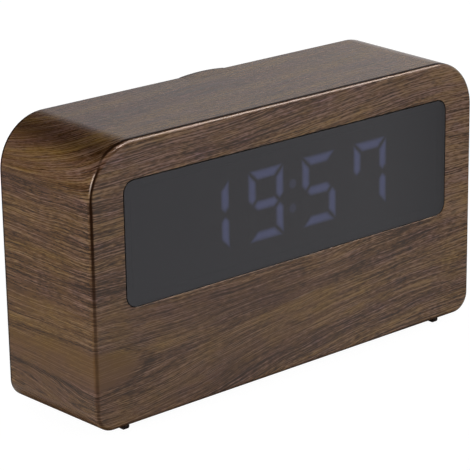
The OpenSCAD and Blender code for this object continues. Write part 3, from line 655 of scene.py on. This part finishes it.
# place on the film's sheet: the sides are folded out from the front
def filmPlace(co):
    depth, half, low, high, upperGap = blockAt(co)
    lowerGap = Vector((abs(co.x) - half + caseBlock["lower"], low + caseBlock["lower"] - co.z))
    side = 1.0 if co.x > 0 else -1.0
    skin = 2 * caseMake["edge"]
    outward = Vector((0.0, 0.0))
    if min(upperGap) > 0:
        outward = upperGap.normalized()
    elif min(lowerGap) > 0:
        outward = lowerGap.normalized() * Vector((1.0, -1.0))
    elif co.z > high - skin:
        outward = Vector((0.0, 1.0))
    elif co.z < low + skin:
        outward = Vector((0.0, -1.0))
    elif abs(co.x) > half - skin:
        outward = Vector((1.0, 0.0))
    # this depth places the painted shade along the edges, and none in the window
    foldShade = 0.0 if inWindow(co) else depth
    return ((co.x + side * outward[0] * depth) / mm, (co.z + outward[1] * depth) / mm, foldShade / mm)


# faces in the dark core colour: the window's wall, the walls of the notch and the whole inside; slopes are parts of a
# normal, and the film goes round the window's rim by a long share of it, by a short one on its right and upper sides,
# where the core colour is painted shade
coreAndShadeMake = {"inward": -0.1, "rearward": 0.5, "shaded": -0.3, "shadedFilmShare": 0.2, "plainFilmShare": 0.9}


def isCoreOrRimShade(face):
    centre, normal = face.center, face.normal
    depth = centre.y - caseMake["front"]
    if inWindow(centre):
        shaded = min(normal.x, normal.z) < coreAndShadeMake["shaded"]
        return depth > coreAndShadeMake["shadedFilmShare" if shaded else "plainFilmShare"] * windowCut["rim"]
    reach = Vector((centre.x, centre.z - caseMake["middle"]))
    inward = normal.x * reach.x + normal.z * reach.y < coreAndShadeMake["inward"] * reach.length
    inside = normal.y > coreAndShadeMake["rearward"] and centre.y < caseMake["rebate"] + caseMake["edge"]
    return (inward and depth > caseMake["edge"]) or inside


# painted shade along the two upper bends, strongest a little above their middle
bendShadeMake = {"angle": 58.0, "spread": 16.0}


def bendShadeShare(co):
    depth, _, _, _, gap = blockAt(co)
    if min(gap) <= 0 or depth < caseMake["edge"] / 2:
        return 0.0
    turn = math.degrees(math.atan2(gap[1], gap[0])) - bendShadeMake["angle"]
    return math.exp(-(turn / bendShadeMake["spread"]) ** 2)


def layFilm(piece):
    film = piece.data.attributes.new("film", "FLOAT_VECTOR", "POINT")
    places = [filmPlace(v.co) for v in piece.data.vertices]
    film.data.foreach_set("vector", [c for p in places for c in p])
    # painted shade along the upper bends
    bend = piece.data.attributes.new("bend", "FLOAT", "POINT")
    bend.data.foreach_set("value", [bendShadeShare(v.co) for v in piece.data.vertices])
    # core: the bare case, and painted shade on the right and upper sides of the window's rim
    core = piece.data.attributes.new("core", "FLOAT", "FACE")
    core.data.foreach_set("value", [float(isCoreOrRimShade(face)) for face in piece.data.polygons])


def depthRuns(bm):
    return [e for e in bm.edges if abs(e.verts[0].co.y - e.verts[1].co.y) > caseMake["back"]]


# drafted block with round edges, open at its front and back
def makeBlock(bm):
    make, block = caseMake, caseBlock
    boxAt(bm, (-block["half"], make["front"], block["low"]), (block["half"], make["back"], block["high"]))
    for isUpper, radius, steps in ((True, block["upper"], make["cornerSteps"]),
                                   (False, block["lower"], make["lowerSteps"])):
        runs = [e for e in depthRuns(bm) if (e.verts[0].co.z > make["middle"]) == isUpper]
        roundOff(bm, runs, radius, steps)
    for v in bm.verts:
        if v.co.y > 0:
            v.co.x += math.copysign(make["sideDraft"], v.co.x)
            v.co.z += math.copysign(make["topDraft"], v.co.z - make["middle"])
    for y in (make["front"], make["back"]):
        loop = [e for e in bm.edges if all(abs(v.co.y - y) < meshMake["merge"] for v in e.verts)]
        roundOff(bm, loop, make["edge"], make["edgeSteps"])
    bmesh.ops.subdivide_edges(bm, edges=depthRuns(bm), cuts=make["depthSteps"], use_grid_fill=True)
    bm.normal_update()
    frontFace = max(bm.faces, key=lambda f: -f.normal.y * f.calc_area())
    backFace = max(bm.faces, key=lambda f: f.normal.y * f.calc_area())
    frontRim, backRim = list(frontFace.edges), list(backFace.edges)
    bmesh.ops.delete(bm, geom=[frontFace, backFace], context="FACES_ONLY")
    return frontRim, backRim


# rear rim, rebate for the cover, then the inside
def hollowOut(bm, backRim):
    make, block = caseMake, caseBlock
    drafted = dict(block, half=block["half"] + make["sideDraft"], low=block["low"] - make["topDraft"],
                   high=block["high"] + make["topDraft"])
    rebate, inside = shrunk(block, make["rim"]), shrunk(block, make["wall"])
    verts, rim = pushLoop(bm, backRim)
    refit(verts, shrunk(drafted, make["edge"]), rebate)
    verts, rim = pushLoop(bm, rim)
    setDepth(verts, make["rebate"])
    verts, rim = pushLoop(bm, rim)
    refit(verts, rebate, inside)
    verts, innerRim = pushLoop(bm, rim)
    setDepth(verts, make["innerFront"])
    return innerRim


# window opening, its ledge and the two fills around it
def openWindow(bm, frontRim, innerRim):
    cut = windowCut
    old = set(bm.faces)
    roundedPanel(bm, cut["low"], cut["high"], caseMake["front"], cut["corner"], cut["cornerSteps"])
    pane = [f for f in bm.faces if f not in old]
    paneRim = list(dict.fromkeys(e for f in pane for e in f.edges))
    bmesh.ops.delete(bm, geom=pane, context="FACES_ONLY")
    bmesh.ops.triangle_fill(bm, edges=frontRim + paneRim, use_beauty=True, normal=(0.0, -1.0, 0.0))
    verts, wallRim = pushLoop(bm, paneRim)
    setDepth(verts, cut["ledgeDepth"])
    verts, ledgeRim = pushLoop(bm, wallRim)
    middle = (cut["low"][1] + cut["high"][1]) / 2
    for v in verts:
        v.co.x -= math.copysign(cut["ledge"], v.co.x)
        v.co.z -= math.copysign(cut["ledge"], v.co.z - middle)
    verts, holeRim = pushLoop(bm, ledgeRim)
    setDepth(verts, caseMake["innerFront"])
    bmesh.ops.triangle_fill(bm, edges=holeRim + innerRim, use_beauty=True, normal=(0.0, 1.0, 0.0))
    roundOff(bm, paneRim, cut["rim"], cut["rimSteps"])


# notch for the snooze key, which starts at the foot of the key's crown, and grooves for the runners
notchMake = {"half": 9.0 * mm, "low": 86.0 * mm, "crown": 0.5 * mm, "gap": 0.08 * mm, "past": 1.0 * mm,
             "grooveGap": 0.05 * mm}


def makeCutter():
    bm = bmesh.new()
    make = notchMake
    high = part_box("snooze_key")[1]
    crown = [v.co.y for v in nodes["snooze_key"].data.vertices if v.co.z > caseBlock["high"] - make["crown"]]
    half = make["half"] + make["gap"]
    boxAt(bm, (-half, min(crown) - make["gap"], make["low"]), (half, high.y + make["past"], high.z + make["past"]))
    gap = Vector([make["grooveGap"]] * 3)
    for foot in ("foot_left", "foot_right"):
        low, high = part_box(foot)
        boxAt(bm, low - gap, high + gap)
    return pieceFrom(bm, "cutter")


def makeCase():
    bm = bmesh.new()
    frontRim, backRim = makeBlock(bm)
    innerRim = hollowOut(bm, backRim)
    openWindow(bm, frontRim, innerRim)
    bmesh.ops.remove_doubles(bm, verts=bm.verts, dist=meshMake["merge"])
    bmesh.ops.recalc_face_normals(bm, faces=bm.faces)
    piece = pieceFrom(bm, "caseSkin")
    carve(piece, makeCutter())
    layFilm(piece)
    dress(piece, "walnutFoil", "case", "wood_foil", "case_shell")


makeCase()
print("case skin made")


# CAD solids with their triangles joined to whole faces, and copies of them with softened edges
def wholeFaces(node):
    bm = bmesh.new()
    bm.from_mesh(nodes[node].data)
    bmesh.ops.remove_doubles(bm, verts=bm.verts, dist=meshMake["merge"])
    bmesh.ops.dissolve_limit(bm, angle_limit=math.radians(meshMake["flat"]), verts=bm.verts, edges=bm.edges)
    return bm


def softened(node, name, width, segments=2):
    bm = wholeFaces(node)
    limit = math.radians(meshMake["crisp"])
    crisp = [e for e in bm.edges if len(e.link_faces) == 2 and e.calc_face_angle(0.0) > limit]
    roundOff(bm, crisp, width, segments)
    return pieceFrom(bm, name)


# node, piece, edge width in millimetres, finish, body, slot
softPieces = [
    ("snooze_key", "snoozeKey", 0.1, "walnutFoil", "snooze_key", "wood_foil"),
    ("rear_cover", "rearCover", 0.2, "rearPlastic", "case", "black_plastic"),
    ("battery_door", "batteryDoor", 0.15, "rearPlastic", "battery_door", "black_plastic"),
    ("cover_screws", "coverScrews", 0.1, "screwSteel", "case", "screw_steel"),
    ("mode_button", "modeButton", 0.15, "buttonPlastic", "mode_button", "button_plastic"),
    ("up_button", "upButton", 0.15, "buttonPlastic", "up_button", "button_plastic"),
    ("down_button", "downButton", 0.15, "buttonPlastic", "down_button", "button_plastic"),
    ("alarm_button", "alarmButton", 0.15, "buttonPlastic", "alarm_button", "button_plastic"),
    ("slide_knob", "slideKnob", 0.2, "buttonPlastic", "slide_knob", "button_plastic"),
    ("inlet_shell", "inletShell", 0.08, "canMetal", "case", "can_metal"),
    ("foot_left", "footLeft", 0.2, "footRubber", "case", "foot_rubber"),
    ("foot_right", "footRight", 0.2, "footRubber", "case", "foot_rubber"),
]
crownSlope = 0.85  # upward part of the normal of the crown's faces


# the key's crown swells so little that it is shaded as the top beside it
def smoothCrown(piece):
    piece.modifiers.clear()
    level = Vector((0.0, -2 * caseMake["topDraft"], 2 * caseMake["back"])).normalized()
    turned = []
    for face in piece.data.polygons:
        turned += [level if face.normal.z > crownSlope else Vector()] * face.loop_total
    piece.data.normals_split_custom_set(turned)


def makeSoftPieces():
    for node, name, width, finish, body, slotName in softPieces:
        piece = softened(node, name, width * mm)
        dress(piece, finish, body, slotName, node)
        if finish == "walnutFoil":
            layFilm(piece)
            smoothCrown(piece)


makeSoftPieces()
print("softened pieces made:", len(softPieces))


# smoked window, a little thinner than its seat so that the mask stays clear of it
lensMake = {"corner": 3.75 * mm, "cornerSteps": 8, "clear": 0.05 * mm, "edgeSlope": 0.5}


def makeLensPiece():
    make = lensMake
    low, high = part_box("display_lens")
    bm = bmesh.new()
    roundedPanel(bm, (low.x, low.z), (high.x, high.z), low.y, make["corner"], make["cornerSteps"])
    rim = [e for e in bm.edges if e.is_boundary]
    verts, backRim = pushLoop(bm, rim)
    setDepth(verts, high.y - make["clear"])
    bmesh.ops.edgeloop_fill(bm, edges=backRim)
    bmesh.ops.recalc_face_normals(bm, faces=bm.faces)
    piece = dress(pieceFrom(bm, "windowLens"), "smokedAcrylic", "case", "smoked_window", "display_lens")
    piece.data.materials.append(finishes["maskPlastic"])  # edge faces dark: painted shade for the gap round the lens
    for face in piece.data.polygons:
        face.material_index = int(abs(face.normal.y) < make["edgeSlope"])


makeLensPiece()


# lit segments: the light falls off from the middle of each segment to its edge
glowMake = {"fade": 1.1 * mm, "edgeShare": 0.25, "frontSlope": -0.9}


def makeSegments():
    bm = wholeFaces("lit_segments")
    glow = bm.verts.layers.float.new("glow")
    bm.normal_update()
    fronts = [f for f in bm.faces if f.normal.y < glowMake["frontSlope"]]
    for f in fronts:
        for v in f.verts:
            v[glow] = glowMake["edgeShare"]
    bmesh.ops.inset_individual(bm, faces=fronts, thickness=glowMake["fade"], depth=0.0, use_even_offset=True)
    for f in fronts:
        for v in f.verts:
            v[glow] = 1.0
    dress(pieceFrom(bm, "glowSegments"), "litGuide", "case", "lit_guide", "lit_segments")


makeSegments()


# cells with rolled edges and bare ends
cellMake = {"rolled": 0.35 * mm, "rollSteps": 3, "endSlope": 0.3}


def makeCells():
    piece = softened("battery_cells", "batteryCells", cellMake["rolled"], cellMake["rollSteps"])
    bare = piece.data.attributes.new("bare", "FLOAT", "FACE")
    ends = [float(abs(face.normal.x) > cellMake["endSlope"]) for face in piece.data.polygons]
    bare.data.foreach_set("value", ends)
    dress(piece, "cellSleeve", "case", "cell_sleeve", "battery_cells")


makeCells()
print("window, digits and cells made")


# CAD solids that keep their own shape
keptNodes = {
    "maskPlastic": ["light_mask"],
    "darkGuide": ["dark_segments"],
    "dotGuide": ["colon_dots"],
    "lampResin": ["segment_lamps"],
    "circuitBoard": ["display_board", "main_board"],
    "screwSteel": ["display_screws", "main_board_screws"],
    "chipResin": ["clock_chip", "buzzer", "push_switches", "snooze_switch", "inlet_tongue"],
    "canMetal": ["capacitor", "slide_switch"],
    "ribbonFilm": ["ribbon_cable"],
    "socketPlastic": ["ribbon_sockets"],
    "plungerPlastic": ["mode_plunger", "up_plunger", "down_plunger", "alarm_plunger", "snooze_plunger"],
    "rearPlastic": ["battery_tray"],
    "contactSteel": ["spring_contacts", "contact_plates"],
    "leadSleeve": ["battery_leads"],
}
for finish, names in keptNodes.items():
    for name in names:
        nodes[name].material_slots[0].material = finishes[finish]
print("kept solids dressed")


# white surroundings for the camera, a darker upper sky for reflections, plain light on the object
skyMake = {"plain": (0.3, 0.6, 0.36, 0.1), "right": (0.34, 0.64), "rightLow": (0.0, 0.28, 0.15, 1.0),
           "farRight": (0.66, 0.71), "rightFall": (0.3, 0.8, 0.7, 0.1), "left": (-0.6, -0.35, 0.26, 0.0),
           "leftHigh": (0.4, 0.62, 1.0, 0.0), "leftLow": (0.0, 0.3, 0.2, 1.0), "hue": (1.0, 0.97, 0.985, 1.0)}


def makeSky():
    look = skyMake
    world = bpy.data.worlds.new("studio")
    bpy.context.scene.world = world
    world.use_nodes = True
    tree = world.node_tree
    tree.nodes.clear()
    ray = addNode(tree, "ShaderNodeLightPath").outputs
    aside, _, rise = partsOf(tree, addNode(tree, "ShaderNodeTexCoord").outputs["Generated"])
    low = greater(tree, remap(tree, rise, *look["rightLow"]), remap(tree, aside, *look["farRight"]))
    fall = remap(tree, rise, *look["rightFall"], smooth=False)
    right = times(tree, remap(tree, aside, *look["right"]), low, fall)
    left = times(tree, remap(tree, aside, *look["left"]), remap(tree, rise, *look["leftHigh"]),
                 remap(tree, rise, *look["leftLow"]))
    plain = remap(tree, rise, *look["plain"])
    lit = blendValue(tree, ray["Is Glossy Ray"], plain, plus(tree, right, left))
    clear = greater(tree, ray["Is Camera Ray"], ray["Is Transmission Ray"])
    hue = blendColour(tree, ray["Is Glossy Ray"], white, look["hue"])
    sky = addNode(tree, "ShaderNodeBackground", {"Color": hue, "Strength": blendValue(tree, clear, lit, 1.0)})
    out = addNode(tree, "ShaderNodeOutputWorld")
    tree.links.new(sky.outputs[0], out.inputs[0])


# floor, white to the eye; what it mirrors falls off to the left front and to the right, and under the case it is a
# painted shadow
floorMake = {"half": 4.0, "glow": 0.97, "tone": (0.1, 0.1, 0.1, 1.0), "plain": (0.7, 0.7, 0.7, 1.0),
             "leftFall": (-0.25, 0.1, 0.35, 0.75), "rightFall": (0.0, 0.14, 1.0, 0.15),
             "beyond": (0.25, 0.5, 0.0, 0.9), "underSide": (0.078, 0.088, 1.0, 0.0),
             "underDepth": (0.021, 0.03, 1.0, 0.0)}


def makeFloor():
    look = floorMake
    bm = bmesh.new()
    bmesh.ops.create_grid(bm, x_segments=1, y_segments=1, size=look["half"])
    floor = pieceFrom(bm, "floor")
    material = bpy.data.materials.new("paleFloor")
    material.use_nodes = True
    tree = material.node_tree
    tree.nodes.clear()
    ray = addNode(tree, "ShaderNodeLightPath").outputs
    aside, back, _ = partsOf(tree, objectPlace(tree))
    diagonal = plus(tree, aside, back)
    rightFall = greater(tree, remap(tree, diagonal, *look["rightFall"]), remap(tree, diagonal, *look["beyond"]))
    # painted shadow under the case, seen only in reflections of the floor
    under = times(tree, remap(tree, calc(tree, "ABSOLUTE", aside), *look["underSide"]),
                  remap(tree, calc(tree, "ABSOLUTE", back), *look["underDepth"]))
    mirrored = times(tree, remap(tree, minus(tree, aside, back), *look["leftFall"]), rightFall,
                     minus(tree, 1.0, under))
    glow = blendValue(tree, ray["Is Glossy Ray"], look["glow"], mirrored)
    shine = addNode(tree, "ShaderNodeEmission", {"Color": white, "Strength": glow})
    faint = addNode(tree, "ShaderNodeBsdfDiffuse", {"Color": look["tone"]})
    plain = addNode(tree, "ShaderNodeBsdfDiffuse", {"Color": look["plain"]})
    bright = addNode(tree, "ShaderNodeAddShader", {0: shine.outputs[0], 1: faint.outputs[0]})
    seen = greater(tree, ray["Is Camera Ray"], ray["Is Glossy Ray"])
    seen = greater(tree, seen, ray["Is Transmission Ray"])
    both = addNode(tree, "ShaderNodeMixShader", {0: seen, 1: plain.outputs[0], 2: bright.outputs[0]})
    out = addNode(tree, "ShaderNodeOutputMaterial")
    tree.links.new(both.outputs[0], out.inputs[0])
    floor.data.materials.append(material)


# direction to the lamp, size in metres, strength of its light on a surface that faces it, what it serves
lamps = {
    "keyLamp": ((0.62, -0.7, 0.25), 0.6, 0.95, "light"),
    "leftLamp": ((-0.97, -0.15, 0.2), 0.8, 1.55, "light"),
    "overLamp": ((0.0, 0.2, 1.0), 1.0, 0.36, "light"),
    "rearLamp": ((0.25, 0.95, 0.3), 1.0, 0.9, "light"),
    "edgeLamp": ((0.62, -0.22, 0.77), 0.75, 2.1, "shine"),
    "arcLamp": ((0.26, -0.5, 0.82), 0.6, 2.1, "shine"),
    "rimLamp": ((-0.9, -0.16, 0.35), 0.8, 2.8, "shine"),
}
lampMake = {"distance": 1.7, "aim": (0.0, 0.0, 45.0 * mm), "shineHue": (1.0, 0.85, 0.76)}


def setLamps():
    distance = lampMake["distance"]
    for name, (direction, size, level, serves) in lamps.items():
        lamp = bpy.data.lights.new(name, "AREA")
        lamp.shape, lamp.size = "DISK", size
        lamp.energy = level * math.pi * distance ** 2
        if serves == "shine":
            lamp.color = lampMake["shineHue"]
        toLamp = Vector(direction).normalized()
        facing = toLamp.to_track_quat("Z", "Y").to_matrix().to_4x4()
        stand = bpy.data.objects.new(name, lamp)
        stand.matrix_world = Matrix.Translation(Vector(lampMake["aim"]) + toLamp * distance) @ facing
        stand.visible_camera = False
        stand.visible_diffuse = serves != "shine"
        stand.visible_glossy = serves != "light"
        bpy.context.scene.collection.objects.link(stand)


makeSky()
makeFloor()
setLamps()
bpy.context.scene.view_settings.view_transform = "Standard"
print("studio lit")

bpy.context.view_layer.update()
